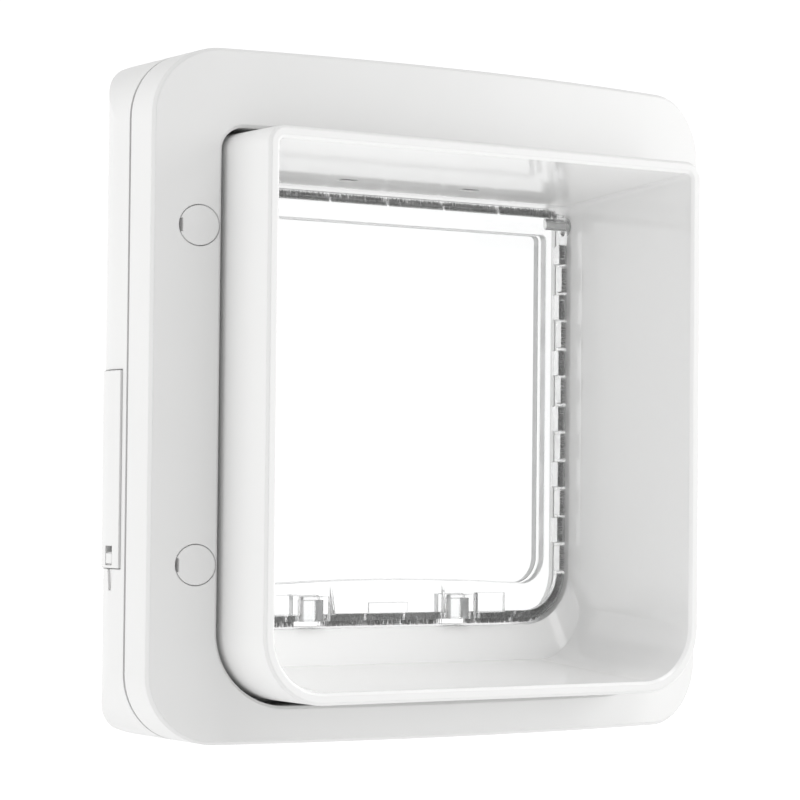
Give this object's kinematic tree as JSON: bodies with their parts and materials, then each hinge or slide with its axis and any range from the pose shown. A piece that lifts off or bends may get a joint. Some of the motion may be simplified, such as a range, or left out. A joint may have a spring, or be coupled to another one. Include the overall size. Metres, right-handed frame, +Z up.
{
  "type": "cat flap",
  "caption": "Cat flap with a bowed outer frame, a through-door tunnel, a clear swinging flap with pile seals, sill latches and a deep inner unit with side battery covers.",
  "frame": {"origin": "on the tunnel's axis, in the plane where the outer frame clamps to the door's outside", "axes": "+X to the right seen from outside, +Y into the house, +Z up"},
  "size_m": [0.2112, 0.0765, 0.21],
  "materials": {
    "white_shell": "satin white moulding",
    "clear_plastic": "clear moulding",
    "pile": "dark pile",
    "steel": "plain steel",
    "latch_plastic": "smooth white moulding",
    "solenoid_case": "zinc plated",
    "dark_plastic": "black moulding",
    "cell_case": "wrapped cell",
    "copper": "enamelled copper wire",
    "board": "solder resist",
    "lamp": "lamp lens"
  },
  "bodies": {
    "housing": {"outer_frame": "white_shell", "screw_caps": "white_shell", "tunnel": "white_shell", "inner_cover": "white_shell", "light_pipe": "clear_plastic", "fixing_screws": "steel", "battery_contacts_left": "steel", "battery_contacts_right": "steel", "hinge_pins": "latch_plastic", "entry_solenoid": "solenoid_case", "exit_solenoid": "solenoid_case", "battery_bay_left": "dark_plastic", "battery_bay_right": "dark_plastic", "board_chips": "dark_plastic", "button_switch": "dark_plastic", "sensor_windows": "dark_plastic", "batteries": "cell_case", "antenna_coil": "copper", "control_board": "board", "indicator_lamp": "lamp"},
    "flap": {"flap": "clear_plastic", "flap_brush_top": "pile", "flap_brush_left": "pile", "flap_brush_right": "pile", "flap_brush_bottom": "pile"},
    "entry_latch": {"entry_latch": "latch_plastic", "entry_plunger": "steel"},
    "exit_latch": {"exit_latch": "latch_plastic", "exit_plunger": "steel"},
    "battery_cover_left": {"battery_cover_left": "white_shell"},
    "battery_cover_right": {"battery_cover_right": "white_shell"},
    "learn_button": {"learn_button": "white_shell"}
  },
  "joints": [
    {"name": "flap_swing", "type": "hinge", "parent": "housing", "child": "flap", "pos_m": [0, 0.02, 0.069], "axis": [1, 0, 0], "range_deg": [-80, 80]},
    {"name": "entry_latch_lift", "type": "slide", "parent": "housing", "child": "entry_latch", "axis": [0, 0, 1], "range_m": [0, 0.006]},
    {"name": "exit_latch_lift", "type": "slide", "parent": "housing", "child": "exit_latch", "axis": [0, 0, 1], "range_m": [0, 0.006]},
    {"name": "battery_cover_left_off", "type": "slide", "parent": "housing", "child": "battery_cover_left", "axis": [-0.7071, 0.7071, 0], "range_m": [0, 0.04]},
    {"name": "battery_cover_right_off", "type": "slide", "parent": "housing", "child": "battery_cover_right", "axis": [0.7071, 0.7071, 0], "range_m": [0, 0.04]},
    {"name": "learn_button_press", "type": "slide", "parent": "housing", "child": "learn_button", "axis": [0, -1, 0], "range_m": [0, 0.001], "stiffness_N_per_m": 400}
  ]
}
